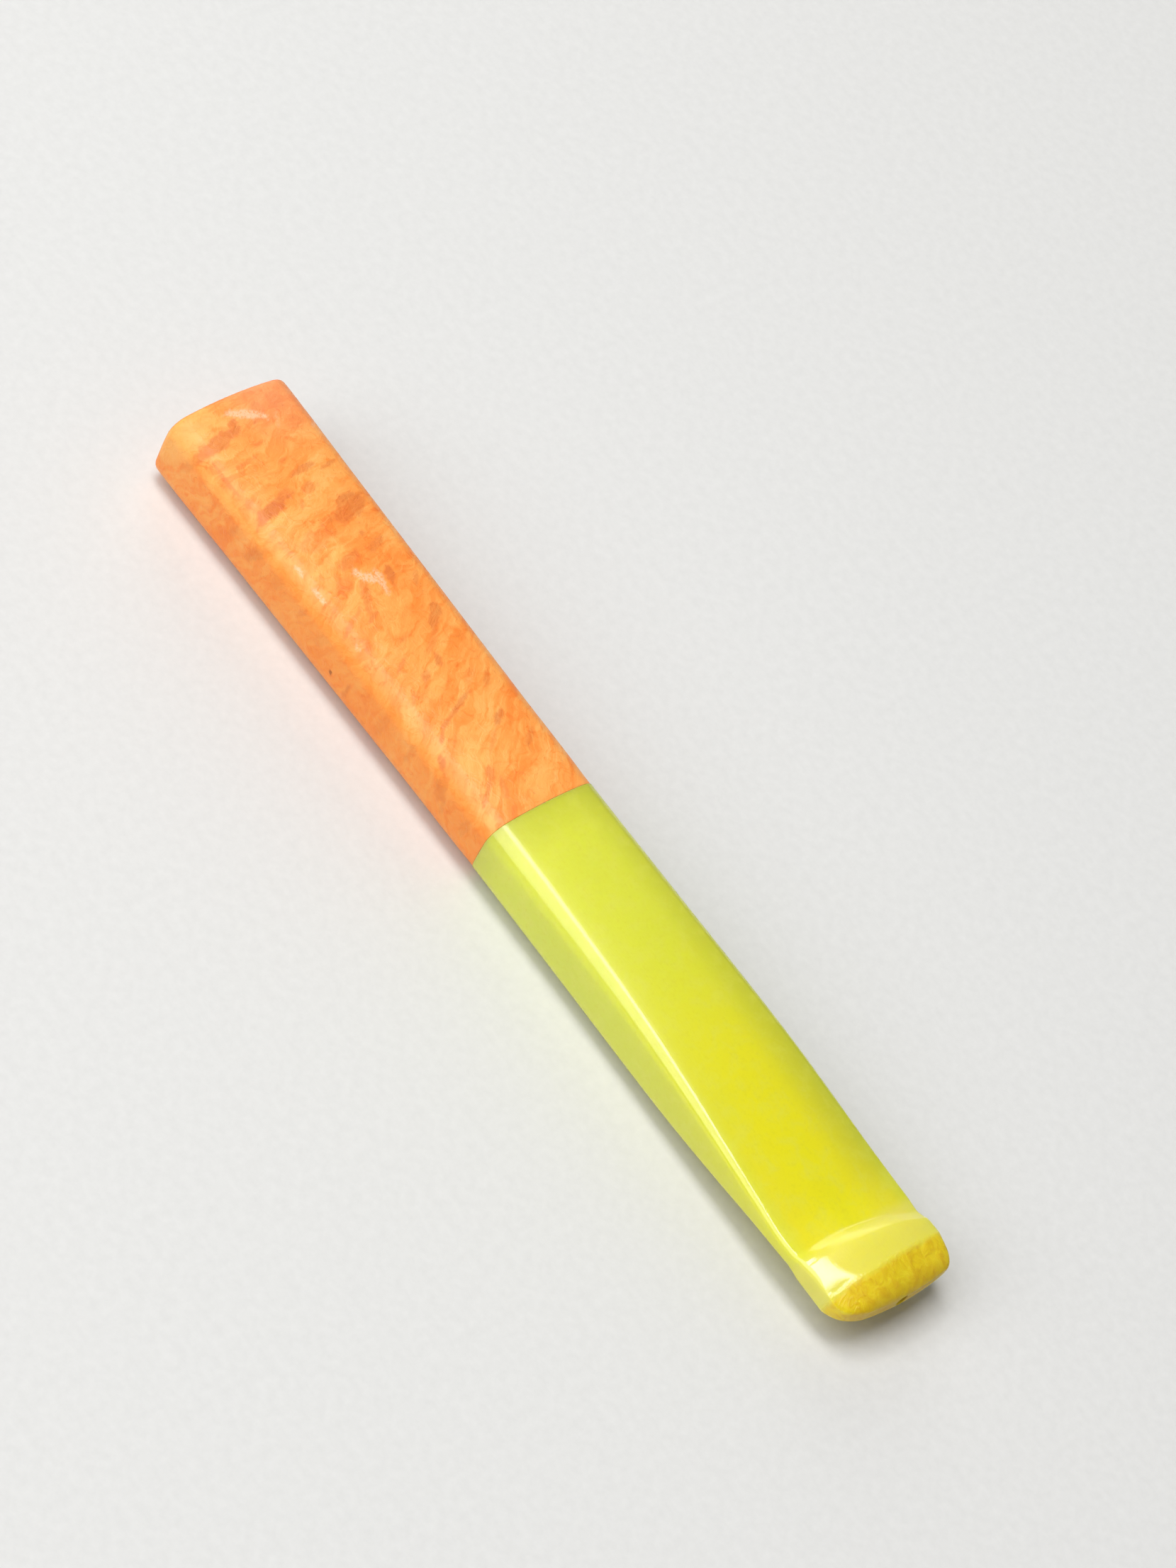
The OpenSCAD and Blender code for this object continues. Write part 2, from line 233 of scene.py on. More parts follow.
# ---------------------------------------------------------------- wooden body
# marks in the wood, and painted highlights, on the face that is up: centre x, centre u, half length,
# half width, turn in degrees, strength. u runs across the top from the middle towards -Y and on down
# the side, in mm; the length runs along the turned direction. + is darker, - is paler; the paler ones
# at (9.0, 7.9), (19.3, 6.8) and (52.6, 6.3) sit on the top's rounded -Y edge and are painted highlight.
MARKS_AND_SHEEN = [
    (4.4, 4.9, 3.0, 0.85, 86, 0.9), (3.1, 2.1, 0.7, 0.4, 60, 0.9), (3.9, 3.1, 0.9, 0.3, 70, 0.6),
    (2.5, -4.0, 1.0, 0.9, 0, 0.45), (2.6, -1.5, 0.8, 0.7, 0, 0.6), (5.6, -4.4, 1.2, 0.8, 60, 0.3),
    (10.7, -1.5, 1.9, 0.35, 84, 0.7), (11.2, -4.4, 1.2, 0.2, 78, 0.6), (12.9, -0.5, 0.8, 0.6, 50, 0.6),
    (13.3, 4.6, 2.8, 0.7, 76, 1.0), (12.0, 5.8, 0.9, 0.8, 0, 0.5), (8.0, 6.5, 2.7, 0.22, 0, 0.7),
    (12.4, 2.4, 0.9, 0.4, 70, 0.6), (16.4, -3.2, 2.6, 1.2, 62, 0.75), (16.9, -0.4, 1.4, 0.4, 80, 0.5),
    (18.4, 2.6, 2.0, 1.0, 80, 0.4), (15.5, 6.0, 0.8, 0.4, 60, 0.4), (21.4, -2.9, 1.5, 0.5, 72, 0.55),
    (21.9, 1.0, 1.5, 0.6, 70, 0.6), (25.0, -1.9, 1.2, 0.5, 22, 0.9), (25.9, 1.9, 1.9, 0.5, 26, 0.6),
    (24.0, 3.2, 1.3, 0.7, 70, 0.4), (27.8, 4.9, 1.9, 0.35, 62, 0.55), (30.9, -3.3, 1.7, 0.6, 42, 0.7),
    (33.4, -1.0, 1.8, 0.35, 50, 0.4), (35.2, -0.2, 0.9, 0.4, 16, 0.8), (36.5, 2.2, 0.8, 0.45, 50, 0.7),
    (40.9, 1.7, 3.0, 0.28, 66, 0.8), (43.6, -1.7, 1.3, 0.4, 56, 0.8), (45.6, 0.6, 1.4, 0.25, 48, 0.4),
    (45.0, 6.5, 0.7, 0.4, 20, 1.0), (48.5, 3.1, 0.8, 0.45, 20, 0.7), (50.0, 4.7, 2.0, 0.25, 50, 0.7),
    (50.4, 2.9, 1.2, 0.3, 20, 0.6), (30.8, 5.4, 0.9, 0.4, 20, 0.5), (38.5, -2.0, 1.6, 0.5, 50, 0.3),
    (46.6, 8.4, 1.7, 0.7, 80, 0.7), (47.7, 10.0, 1.2, 0.3, 85, 0.5), (15.8, 9.0, 1.8, 0.6, 118, 0.6),
    (29.6, 11.4, 0.28, 0.22, 90, 2.2), (32.1, 11.2, 1.2, 0.22, 96, 0.8), (27.0, 9.3, 1.5, 0.5, 110, 0.3),
    (19.5, 9.2, 1.4, 0.7, 110, 0.3), (3.9, 9.3, 1.4, 0.5, 110, 0.3), (37.5, 9.6, 1.9, 0.6, 100, 0.3),
    # paler: (19.3, 6.8), (9.0, 7.9) and (52.6, 6.3) on the top's rounded -Y edge are painted highlight
    (1.6, 7.6, 4.6, 1.6, 88, -0.75), (14.7, 4.6, 2.0, 0.35, 76, -0.7), (21.0, 2.8, 2.6, 0.45, 74, -0.8),
    (7.0, -5.0, 1.6, 1.0, 60, -0.3), (9.5, 2.0, 1.5, 0.7, 76, -0.3), (19.3, 6.8, 2.4, 0.6, 0, -0.4),
    (29.0, 0.4, 2.4, 1.5, 30, -0.35), (38.0, 1.9, 1.4, 0.8, 60, -0.5), (46.5, 3.9, 2.0, 1.2, 45, -0.6),
    (51.5, -1.0, 2.2, 1.2, 60, -0.45), (9.0, 7.9, 3.6, 0.6, 0, -0.6), (52.6, 6.3, 0.7, 0.5, 0, -0.8),
    (45.0, 10.2, 1.5, 1.3, 0, -0.35),
    (4.0, -0.3, 0.5, 0.2, 70, 0.9), (19.7, -2.3, 0.45, 0.3, 60, 0.7), (9.0, 0.0, 0.6, 0.25, 80, 0.5),
    (6.3, 1.1, 0.7, 0.2, 84, 0.5), (14.2, 1.4, 0.5, 0.3, 40, 0.6), (17.2, 1.1, 0.45, 0.3, 70, 0.7),
    (18.0, 3.4, 0.6, 0.2, 88, 0.6), (26.3, -4.4, 1.1, 0.3, 40, 0.5), (28.4, 2.8, 0.9, 0.25, 64, 0.7),
    (34.2, 3.6, 1.2, 0.22, 58, 0.6), (39.3, -3.6, 1.0, 0.3, 44, 0.5), (42.8, 4.9, 0.9, 0.22, 40, 0.8),
    (46.9, -3.3, 1.3, 0.3, 52, 0.5), (51.9, 0.6, 1.0, 0.25, 60, 0.5), (31.7, 1.3, 0.9, 0.2, 62, 0.6),
    (37.9, 4.8, 0.8, 0.25, 40, 0.5), (7.6, 3.6, 1.3, 0.25, 84, 0.5), (2.0, 5.4, 1.0, 0.3, 86, -0.5),
    (33.0, 9.2, 1.2, 0.3, 104, -0.5), (41.8, 8.9, 1.4, 0.4, 98, 0.45), (51.0, 9.4, 1.3, 0.45, 96, 0.45),
    (23.6, 8.8, 1.0, 0.3, 112, 0.5), (12.2, 9.7, 1.2, 0.4, 116, 0.4), (8.0, 10.6, 1.4, 0.5, 116, -0.5),
]
# worn, paler scuffs with a little of their own relief; their pale colour is partly a painted glint, and the three short
# ones at u about 6.2, on the top's rounded -Y edge, are painted glints
SCUFFS_AND_GLINTS = [
    (2.8, 0.1, 2.1, 0.5, 118, 1.2), (24.2, 0.6, 1.3, 0.55, 134, 1.2), (25.4, -0.5, 1.3, 0.42, 8, 1.0),
    (20.4, 6.2, 0.65, 0.2, 0, 0.8), (23.8, 6.1, 1.1, 0.24, 176, 0.9), (30.4, 6.2, 0.5, 0.2, 0, 0.5),
    (6.4, -6.3, 0.5, 0.2, 50, 0.6), (4.6, -2.6, 0.8, 0.25, 20, 0.3),
]


def marks_at(x, u, marks, warp=0.0):
    up, down = np.zeros_like(x), np.zeros_like(x)
    for cx, cu, L, W, turn, s in marks:
        c, n = math.cos(math.radians(turn)), math.sin(math.radians(turn))
        dx, du = x - cx, u - cu
        p = (dx * c + du * n) / L
        q = (-dx * n + du * c) / W
        d = np.sqrt(p * p + q * q) + warp
        k = np.clip((1.22 - d) / 0.36, 0, 1)
        k = s * k * k * (3 - 2 * k)
        up, down = np.maximum(up, k), np.minimum(down, k)
    return up + down


def across(rings_):
    """u of every point: arc length round the outline from the top's middle, + towards -Y, on the upper
    and the -Y faces; it runs on round the rest, so the marks fade out before they meet."""
    R = np.array(rings_)
    d = np.linalg.norm(np.diff(np.concatenate([R, R[:, :1]], 1)[:, :, 1:], axis=2 - 1), axis=2)
    cum = np.concatenate([np.zeros((len(R), 1)), np.cumsum(d, 1)[:, :-1]], 1)
    return cum - cum[:, NQ:NQ + 1]


def make_wood():
    outer = skin(wood_rows(), X0, 0.22)
    U = across(outer)
    far, near = outer[0], outer[-1]
    # hand-finished surface: slow undulation, a faint dent under each scuff, always inwards
    for k, R in enumerate(outer):
        xr = R[0, 0] - X0
        edge = min(1.0, max(0.0, (BODY - xr) / 0.6))
        cen = np.array([R[0, 0], 0, 0])
        rad = R - cen
        rad[:, 0] = 0
        nrm = rad / np.linalg.norm(rad, axis=1)[:, None]
        sc = marks_at(np.full(len(R), xr), U[k], SCUFFS_AND_GLINTS)
        for j in range(len(R)):
            p = R[j]
            w = 0.016 * (1 + fbm(p, 0.22, 3, 3.1)) + 0.006 * (1 + fbm(p, 1.5, 3, 8.7)) + 0.035 * min(sc[j], 1)
            if xr < 1.2:
                w += 0.05 * max(0.0, fbm(p, 0.9, 3, 5.5)) * (1.2 - xr) / 1.2
            R[j] = p - nrm[j] * w * edge
    sr = SOCKET_R
    rings = []
    mouth = circle(X0, sr + 0.25, far)
    rings.append(mouth)
    rings += between(mouth, far, 7)
    n_face = len(rings)
    rings += outer
    n_out = len(rings)
    joint = circle(XJ, TUBE_R + 0.04 + 0.12, near)
    rings += between(near, joint, 7)
    rings.append(joint)
    rings.append(circle(XJ - 0.12, TUBE_R + 0.04, near))
    for x in np.linspace(XJ - 1, XJ - 11.9, 12):
        rings.append(circle(x, TUBE_R + 0.04, near))
    rings.append(circle(XJ - 11.9, AIR_R + 0.4, near))
    for x in np.linspace(XJ - 11.9, X0 + SOCKET_DEPTH + 1.4, 12):
        rings.append(circle(x, AIR_R, near))
    rings.append(circle(X0 + SOCKET_DEPTH + 0.7, (AIR_R + sr) / 2, near))
    for x in np.linspace(X0 + SOCKET_DEPTH, X0 + 0.25, 40):
        rings.append(circle(x, sr, far))
    rings.append(circle(X0 + 0.08, sr + 0.17, far))
    ob = ring_mesh("briar_body", rings, "body")
    # marks, painted highlights and painted glints: only on the outer skin
    m = len(rings)
    dark = np.zeros((m, N))
    scuff_and_glint = np.zeros((m, N))
    X = np.array([R[0, 0] - X0 for R in outer])[:, None] * np.ones((1, N))
    jig = np.array([[0.28 * noise.noise(Vector((p[0] * 0.9, p[1] * 0.9, p[2] * 0.9 + 4))) +
                     0.22 * noise.noise(Vector((p[0] * 2.7, p[1] * 2.7, p[2] * 2.7))) for p in R] for R in outer])
    dark[n_face:n_out] = marks_at(X, U, MARKS_AND_SHEEN, jig * 1.5)
    scuff_and_glint[n_face:n_out] = marks_at(X, U, SCUFFS_AND_GLINTS, jig * 1.5)
    attribute(ob, "mark_and_sheen", np.clip(dark, -1.5, 2.5).ravel())
    attribute(ob, "scuff_and_glint", np.clip(scuff_and_glint, 0, 1.5).ravel())
    return ob


# ---------------------------------------------------------------- mouthpiece
def bite_facet(R):
    """The lip's upper corner on the -Y side is worn to a soft facet that widens to the nose."""
    k = 2 * NQ + 1
    xs, ys, zs = R[:k, 0] - XB, R[:k, 1].copy(), R[:k, 2].copy()
    for j in range(k):
        s = (xs[j] - (E - 7.5)) / 4.0
        if s <= 0 or zs[j] <= 0 or ys[j] > -2.5:
            continue
        y0 = mix(-7.3, -3.7, min(s, 1.0))
        fade = min(1.0, max(0.0, (E + 0.2 - xs[j]) / 3.2))
        top = np.interp(y0, ys[::-1], zs[::-1])
        over = (zs[j] - (top - math.tan(math.radians(19.5)) * (y0 - ys[j]))) / 0.04
        cut = 0.04 * (over if over > 20 else math.log1p(math.exp(over)))
        R[j, 2] = zs[j] - cut * fade * min(1.0, zs[j] / 0.4) * min(1.0, (-2.5 - ys[j]) / 0.6)


def make_bit():
    outer = skin(bit_rows(), XB, 0.24)
    for R in outer:
        bite_facet(R)
        R[:, 0] = np.minimum(R[:, 0], XB + E + 0.0145)
    nose_x = XB + E - 3.4
    for R in outer:
        x = R[:, 0].mean()
        edge = min(1.0, max(0.0, (x - XB) / 0.6))
        cen = R.mean(0)
        rad = R - cen
        rad[:, 0] = 0
        nrm = rad / np.linalg.norm(rad, axis=1)[:, None]
        rough = min(1.0, max(0.0, (x - nose_x + 0.3) / 1.2))
        for j in range(N):
            p = R[j]
            w = 0.010 * (1 + fbm(p, 0.18, 3, 11.3)) + 0.0035 * (1 + fbm(p, 0.9, 2, 2.2))
            w += rough * (0.035 * (1 + fbm(p, 1.1, 4, 6.6)) * 0.5)
            # tooth wear breaks up the step to the lip
            st = (p[0] - XB - 0.15 * p[1] - (E - 7.6)) / 1.3
            if abs(st) < 1 and p[2] > 0:
                w += 0.05 * (1 - st * st) * (1 + fbm(p, 0.75, 3, 9.9)) * min(1.0, max(0.0, (p[1] + 6.0) / 1.5))
            R[j] = p - nrm[j] * w * edge
    j0, tip = outer[0], outer[-1]
    rb = TUBE_R + 0.03
    rings = []
    mouth = circle(XB, rb + 0.1, j0)
    rings.append(mouth)
    rings += between(mouth, j0, 7)
    rings += outer
    xt = XB + E
    hole = circle(xt - 0.015, 0.78, tip)
    rings += between(tip, hole, 5)
    rings.append(hole)
    rings.append(circle(xt - 0.10, 0.70, tip))
    for x in np.linspace(xt - 0.4, XB + 45.8, 24):
        rings.append(circle(x, 0.70, j0))
    for x in np.linspace(XB + 45.5, XB + 31.8, 10):
        rings.append(circle(x, mix(0.70, 1.5, (XB + 45.8 - x) / 14.0), j0))
    for x in np.linspace(XB + 31, XB + 12.0, 10):
        rings.append(circle(x, 1.5, j0))
    for x in np.linspace(XB + 12.0, XB + 0.1, 14):
        rings.append(circle(x, rb, j0))
    return ring_mesh("resin_mouthpiece", rings, "bit")


# ---------------------------------------------------------------- tube
def make_tube():
    n = 128
    L0, L1 = XJ - 11.7, XJ + 11.8
    ro, ri = TUBE_R, TUBE_BORE_R
    prof = [(L0, ri + 0.12), (L0, ro - 0.30), (L0 + 0.04, ro - 0.255), (L0 + 0.26, ro - 0.035), (L0 + 0.32, ro - 0.004)]
    for x in np.linspace(L0 + 0.6, L0 + 8.6, 24):
        prof.append((x, ro))
    # two shallow grooves that hold the wax or the glue, in each half
    for g in (L0 + 9.2, L0 + 10.2, L1 - 10.4, L1 - 9.4):
        prof += [(g - 0.22, ro), (g - 0.16, ro - 0.05), (g - 0.05, ro - 0.12), (g + 0.05, ro - 0.12), (g + 0.16, ro - 0.05), (g + 0.22, ro)]
    for x in np.linspace(L1 - 8.6, L1 - 0.6, 24):
        prof.append((x, ro))
    prof += [(L1 - 0.32, ro - 0.004), (L1 - 0.26, ro - 0.035), (L1 - 0.04, ro - 0.255), (L1, ro - 0.30), (L1, ri + 0.12), (L1 - 0.1, ri)]
    for x in np.linspace(L1 - 0.5, L0 + 0.5, 24):
        prof.append((x, ri))
    prof.append((L0 + 0.1, ri))
    ph = np.linspace(0, 2 * math.pi, n, endpoint=False)
    rings = [np.column_stack([np.full(n, x), r * np.cos(ph), r * np.sin(ph)]) for x, r in prof]
    return ring_mesh("turned_tube", rings, "tenon")


wood = make_wood()
bit = make_bit()
tube = make_tube()


# ---------------------------------------------------------------- materials
class Tree:
    """Short names for building a node tree."""

    def __init__(self, name):
        self.mat = bpy.data.materials.new(name)
        self.mat.use_nodes = True
        self.nt = self.mat.node_tree
        self.nt.nodes.clear()
        self.out = self.nt.nodes.new("ShaderNodeOutputMaterial")
        self.bsdf = self.nt.nodes.new("ShaderNodeBsdfPrincipled")
        self.link(self.bsdf.outputs[0], self.out.inputs[0])
        self.obj = self.nt.nodes.new("ShaderNodeTexCoord").outputs["Object"]

    def link(self, a, b):
        self.nt.links.new(a, b)

    def _in(self, sock, v):
        if isinstance(v, bpy.types.NodeSocket):
            self.link(v, sock)
        elif v is not None:
            sock.default_value = v

    def math(self, op, a, b=None, c=None, clamp=False):
        n = self.nt.nodes.new("ShaderNodeMath")
        n.operation = op
        n.use_clamp = clamp
        for s, v in zip(n.inputs, (a, b, c)):
            self._in(s, v)
        return n.outputs[0]

    def mapping(self, vec, scale=(1, 1, 1), rot=(0, 0, 0), loc=(0, 0, 0)):
        n = self.nt.nodes.new("ShaderNodeMapping")
        self._in(n.inputs["Vector"], vec)
        n.inputs["Scale"].default_value = scale
        n.inputs["Rotation"].default_value = rot
        n.inputs["Location"].default_value = loc
        return n.outputs[0]

    def noise(self, vec, scale, detail=4, rough=0.55, distortion=0.0, lac=2.0):
        n = self.nt.nodes.new("ShaderNodeTexNoise")
        self._in(n.inputs["Vector"], vec)
        n.inputs["Scale"].default_value = scale
        n.inputs["Detail"].default_value = detail
        n.inputs["Roughness"].default_value = rough
        n.inputs["Lacunarity"].default_value = lac
        n.inputs["Distortion"].default_value = distortion
        return n.outputs["Fac"], n.outputs["Color"]

    def voronoi(self, vec, scale, feature="F1", rand=1.0, smooth=None):
        n = self.nt.nodes.new("ShaderNodeTexVoronoi")
        n.feature = feature
        self._in(n.inputs["Vector"], vec)
        n.inputs["Scale"].default_value = scale
        n.inputs["Randomness"].default_value = rand
        if smooth is not None and feature == "SMOOTH_F1":
            n.inputs["Smoothness"].default_value = smooth
        return n.outputs["Distance"]

    def ramp(self, fac, stops, interp="LINEAR"):
        n = self.nt.nodes.new("ShaderNodeValToRGB")
        n.color_ramp.interpolation = interp
        e = n.color_ramp.elements
        while len(e) > 1:
            e.remove(e[-1])
        e[0].position, e[0].color = stops[0][0], (*stops[0][1], 1)
        for p, c in stops[1:]:
            k = e.new(p)
            k.color = (*c, 1)
        self._in(n.inputs[0], fac)
        return n.outputs[0]

    def maprange(self, v, a, b, c=0.0, d=1.0, kind="SMOOTHSTEP"):
        n = self.nt.nodes.new("ShaderNodeMapRange")
        n.interpolation_type = kind
        n.clamp = True
        self._in(n.inputs["Value"], v)
        for k, x in zip(("From Min", "From Max", "To Min", "To Max"), (a, b, c, d)):
            n.inputs[k].default_value = x
        return n.outputs["Result"]

    def mixc(self, fac, a, b, kind="MIX"):
        n = self.nt.nodes.new("ShaderNodeMix")
        n.data_type = "RGBA"
        n.blend_type = kind
        n.clamp_factor = True
        self._in(n.inputs[0], fac)
        for s, v in ((n.inputs[6], a), (n.inputs[7], b)):
            if isinstance(v, tuple):
                v = (*v, 1)
            self._in(s, v)
        return n.outputs[2]

    def attr(self, name):
        n = self.nt.nodes.new("ShaderNodeAttribute")
        n.attribute_type = "GEOMETRY"
        n.attribute_name = name
        return n.outputs["Fac"]

    def xyz(self, vec):
        n = self.nt.nodes.new("ShaderNodeSeparateXYZ")
        self._in(n.inputs[0], vec)
        return n.outputs

    def combine(self, x, y, z):
        n = self.nt.nodes.new("ShaderNodeCombineXYZ")
        for s, v in zip(n.inputs, (x, y, z)):
            self._in(s, v)
        return n.outputs[0]

    def bump(self, height, strength, distance, normal=None):
        n = self.nt.nodes.new("ShaderNodeBump")
        n.inputs["Strength"].default_value = strength
        n.inputs["Distance"].default_value = distance
        self._in(n.inputs["Height"], height)
        if normal is not None:
            self._in(n.inputs["Normal"], normal)
        return n.outputs[0]


def lin(r, g, b):
    """sRGB 0-255 to linear."""
    f = lambda c: c / 12.92 if c <= 0.04045 else ((c + 0.055) / 1.055) ** 2.4
    return (f(r / 255), f(g / 255), f(b / 255))


# wood from the palest figure to the darkest knots
WOOD = [lin(255, 182, 100), lin(254, 168, 82), lin(253, 153, 67), lin(251, 141, 55),
        lin(246, 129, 48), lin(235, 114, 41), lin(206, 92, 35)]


def wood_material():
    t = Tree("briar_wood")
    mm = t.mapping(t.obj, (1000, 1000, 1000))          # work in millimetres
    x, y, z = t.xyz(mm)
    # slow wander of the grain
    wf, wc = t.noise(mm, 0.16, 3, 0.5)
    wander = t.math("MULTIPLY_ADD", wf, 7.0, -3.5)
    w2, _ = t.noise(mm, 0.6, 2, 0.5)
    wander = t.math("ADD", wander, t.math("MULTIPLY_ADD", w2, 0.7, -0.35))
    # sheets of grain: nearly across the body at the socket end, leaning over towards the joint
    xr = t.math("ADD", x, -X0)
    lean = t.math("MULTIPLY_ADD", xr, 0.0185, 0.06)
    tip_ = t.math("MULTIPLY_ADD", xr, -0.011, 0.5)
    g = t.math("ADD", x, t.math("MULTIPLY", y, lean))
    g = t.math("SUBTRACT", g, t.math("MULTIPLY", z, tip_))
    g = t.math("ADD", g, wander)
    sheets = t.combine(g, t.math("MULTIPLY", y, 0.20), t.math("MULTIPLY", z, 0.20))
    band, _ = t.noise(sheets, 0.36, 2, 0.5, 0.1)
    streak, _ = t.noise(sheets, 0.85, 3, 0.55, 0.25)
    fine, _ = t.noise(sheets, 2.4, 3, 0.55, 0.15)
    hair = t.combine(t.math("MULTIPLY", g, 5.0), t.math("MULTIPLY", y, 0.7), t.math("MULTIPLY", z, 0.7))
    hairs, _ = t.noise(hair, 1.6, 3, 0.6, 0.2)
    # burl: cloudy patches and little eyes
    cloud, _ = t.noise(mm, 0.22, 4, 0.55, 0.8)
    cloud2, _ = t.noise(mm, 0.8, 4, 0.6, 1.1)
    warped = t.nt.nodes.new("ShaderNodeVectorMath")
    warped.operation = "ADD"
    t.link(mm, warped.inputs[0])
    sc = t.nt.nodes.new("ShaderNodeVectorMath")
    sc.operation = "SCALE"
    _, nc = t.noise(mm, 0.9, 3, 0.6)
    t.link(nc, sc.inputs[0])
    sc.inputs["Scale"].default_value = 2.4
    t.link(sc.outputs[0], warped.inputs[1])
    eyes = t.voronoi(warped.outputs[0], 0.42, "F1", 1.0)

    v = t.math("MULTIPLY", t.maprange(band, 0.38, 0.62), 0.14)
    v = t.math("ADD", v, t.math("MULTIPLY", t.maprange(streak, 0.44, 0.60), 0.21))
    v = t.math("ADD", v, t.math("MULTIPLY", t.maprange(cloud, 0.38, 0.62), 0.14))
    v = t.math("ADD", v, t.math("MULTIPLY", t.maprange(cloud2, 0.52, 0.62), 0.13))
    v = t.math("ADD", v, t.math("MULTIPLY", t.math("SUBTRACT", fine, 0.5), 0.42))
    v = t.math("ADD", v, t.math("MULTIPLY", t.math("SUBTRACT", hairs, 0.5), 0.07))
    eye = t.math("MULTIPLY", t.maprange(eyes, 0.36, 0.20), t.maprange(cloud2, 0.48, 0.58))
    v = t.math("ADD", v, t.math("MULTIPLY", eye, 0.16))
    v = t.math("ADD", v, 0.06, clamp=True)
    col = t.ramp(v, [
        (0.00, WOOD[0]), (0.18, WOOD[1]), (0.38, WOOD[2]), (0.56, WOOD[3]),
        (0.74, WOOD[4]), (0.90, WOOD[5]), (1.00, WOOD[6])])
    # the marks that this piece of wood has, with the painted highlights on the top's rounded -Y edge
    mark_and_sheen = t.attr("mark_and_sheen")
    broken = t.math("MULTIPLY_ADD", fine, 0.8, 0.45)
    darker = t.math("MULTIPLY", t.math("MULTIPLY", mark_and_sheen, broken), 0.74, clamp=True)
    paler = t.math("MULTIPLY", t.math("MULTIPLY", mark_and_sheen, broken), -0.80, clamp=True)
    col = t.mixc(darker, col, lin(210, 108, 46))
    col = t.mixc(t.maprange(mark_and_sheen, 1.2, 2.0, 0.0, 0.9), col, lin(96, 44, 22))
    col = t.mixc(paler, col, lin(254, 188, 100))
    # short darker fibres and pores
    pore_v = t.combine(t.math("MULTIPLY", g, 3.2), t.math("MULTIPLY", y, 1.1), t.math("MULTIPLY", z, 1.1))
    pn, _ = t.noise(pore_v, 2.4, 2, 0.5, 0.0)
    pores = t.maprange(pn, 0.62, 0.74)
    col = t.mixc(t.math("MULTIPLY", pores, 0.26), col, lin(196, 92, 34))
    # side grain is more saturated, the end grain darker
    side = t.maprange(t.math("ABSOLUTE", y), 6.0, 7.1)
    side = t.math("MULTIPLY", side, t.maprange(xr, 6.0, 24.0, 0.35, 1.0))
    col = t.mixc(t.math("MULTIPLY", side, 0.35), col, lin(250, 146, 46))
    endg = t.maprange(xr, 0.30, 0.02)
    jointg = t.maprange(xr, BODY - 0.04, BODY - 0.005)
    inner = t.maprange(t.math("SQRT", t.math("ADD", t.math("MULTIPLY", y, y),
                              t.math("POWER", t.math("SUBTRACT", z, ZC), 2.0))), 4.25, 3.98)
    rings_, _ = t.noise(t.combine(t.math("MULTIPLY", x, 0.3), y, z), 1.6, 5, 0.65, 0.6)
    egc = t.ramp(rings_, [(0.30, lin(238, 158, 84)), (0.55, lin(214, 124, 58)), (0.75, lin(176, 92, 42))])
    col = t.mixc(t.math("MULTIPLY", t.math("MAXIMUM", endg, jointg), 0.7), col, egc)
    # the bore is charred and stained by smoke, deepest near the bottom of the socket
    char = t.math("MULTIPLY", inner, t.maprange(xr, 0.1, 9.0, 0.35, 0.9))
    col = t.mixc(char, col, lin(62, 34, 20))
    # painted pinkish sheen on the +Y half near the socket end; worn scuffs, their pale colour partly painted glint
    scuff_and_glint = t.attr("scuff_and_glint")
    sn, _ = t.noise(mm, 3.4, 4, 0.6, 0.6)
    # pale scuff colour, partly painted glint
    scuff_and_glint_fac = t.math("MULTIPLY", scuff_and_glint, t.maprange(sn, 0.30, 0.58), clamp=True)
    pink_painted_sheen = t.math("MULTIPLY", t.maprange(xr, 11.0, 0.0), t.maprange(y, -4.0, 3.0))
    col = t.mixc(t.math("MULTIPLY", pink_painted_sheen, 0.55), col, lin(250, 150, 104))
    col = t.mixc(t.math("MULTIPLY", scuff_and_glint_fac, 0.80), col, lin(255, 200, 158))
    t.link(col, t.bsdf.inputs["Base Color"])
    # gloss: waxed satin, duller in the pores and at the ends
    r1, _ = t.noise(mm, 0.9, 4, 0.6)
    rough = t.math("MULTIPLY_ADD", r1, 0.22, 0.30)
    rough = t.math("ADD", rough, t.math("MULTIPLY", pores, 0.12))
    rough = t.math("ADD", rough, t.math("MULTIPLY", t.math("MAXIMUM", endg, inner), 0.3))
    rough = t.math("SUBTRACT", rough, t.math("MULTIPLY", scuff_and_glint_fac, 0.10), clamp=True)
    t.link(rough, t.bsdf.inputs["Roughness"])
    t.bsdf.inputs["Specular IOR Level"].default_value = 0.35
    t.bsdf.inputs["IOR"].default_value = 1.5
    # relief: fibres, pores, brushed polish
    h = t.math("ADD", t.math("MULTIPLY", hairs, 0.45), t.math("MULTIPLY", fine, 0.5))
    h = t.math("SUBTRACT", h, t.math("MULTIPLY", pores, 0.8))
    b1 = t.bump(h, 0.35, 0.00006)
    b2 = t.bump(cloud2, 0.35, 0.00030, b1)
    t.link(b2, t.bsdf.inputs["Normal"])
    return t.mat


